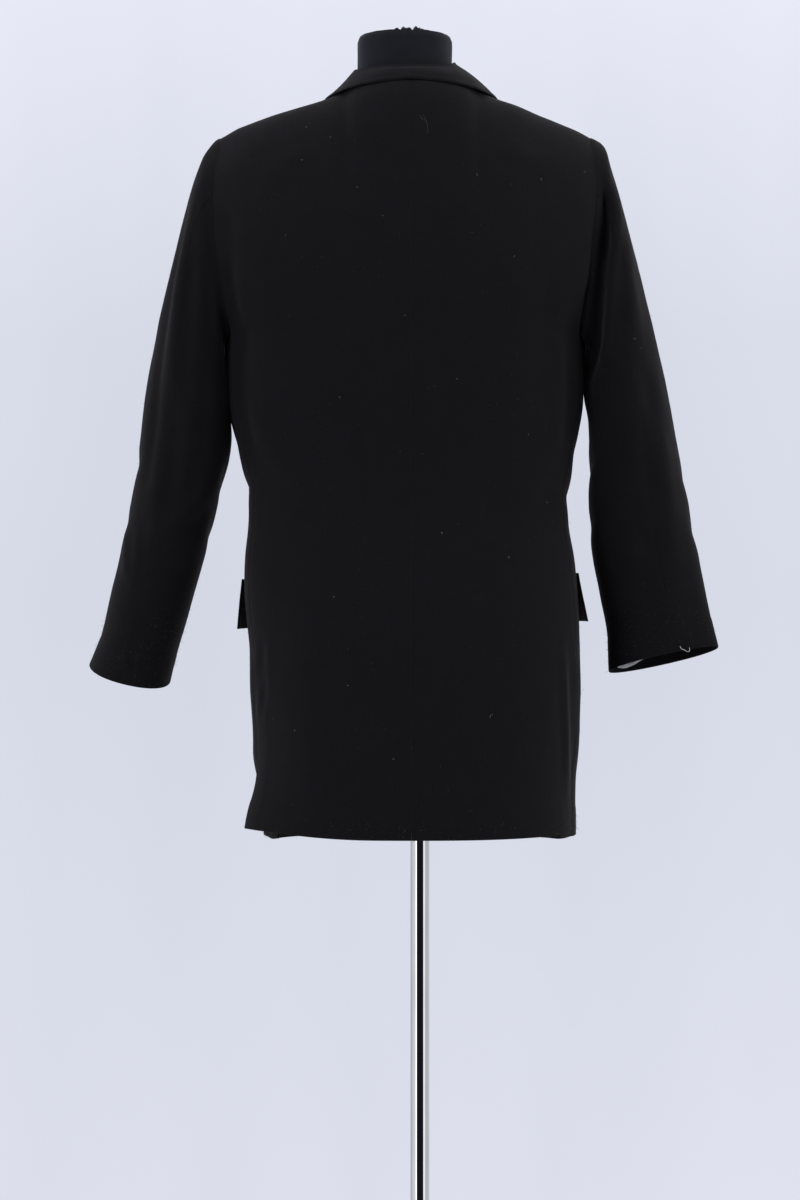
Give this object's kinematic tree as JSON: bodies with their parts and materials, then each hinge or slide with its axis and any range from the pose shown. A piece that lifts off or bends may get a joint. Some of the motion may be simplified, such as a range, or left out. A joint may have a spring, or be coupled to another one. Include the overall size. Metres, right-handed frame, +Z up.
{
  "type": "long blazer on a dress form",
  "caption": "Long dark tailored blazer with notch lapels, flap pockets and side vents, worn by a limbless dress form on a chrome pole stand.",
  "frame": {"origin": "centre of the base plate's underside, on the pole's axis", "axes": "+Z up along the pole, the blazer's front faces -Y, the wearer's left is +X"},
  "size_m": [0.7289, 0.3, 1.552],
  "materials": {
    "blazer_cloth": "matt near-black wool and linen cloth with a slight nap",
    "lining_cloth": "smooth pale grey lining",
    "button_horn": "satin black",
    "form_jersey": "black jersey stretched over the form",
    "chrome": "bright chrome"
  },
  "bodies": {
    "root": {"back_left": "blazer_cloth", "front_left": "blazer_cloth", "sleeve_upper_left": "blazer_cloth", "sleeve_under_left": "blazer_cloth", "lapel_left": "blazer_cloth", "pocket_flap_left": "blazer_cloth", "back_right": "blazer_cloth", "front_right": "blazer_cloth", "sleeve_upper_right": "blazer_cloth", "sleeve_under_right": "blazer_cloth", "lapel_right": "blazer_cloth", "pocket_flap_right": "blazer_cloth", "collar": "blazer_cloth", "sleeve_lining_right": "lining_cloth", "front_button_1": "button_horn", "front_button_2": "button_horn", "dress_form": "form_jersey", "pole_socket": "chrome", "pole": "chrome", "base_plate": "chrome"}
  },
  "joints": []
}
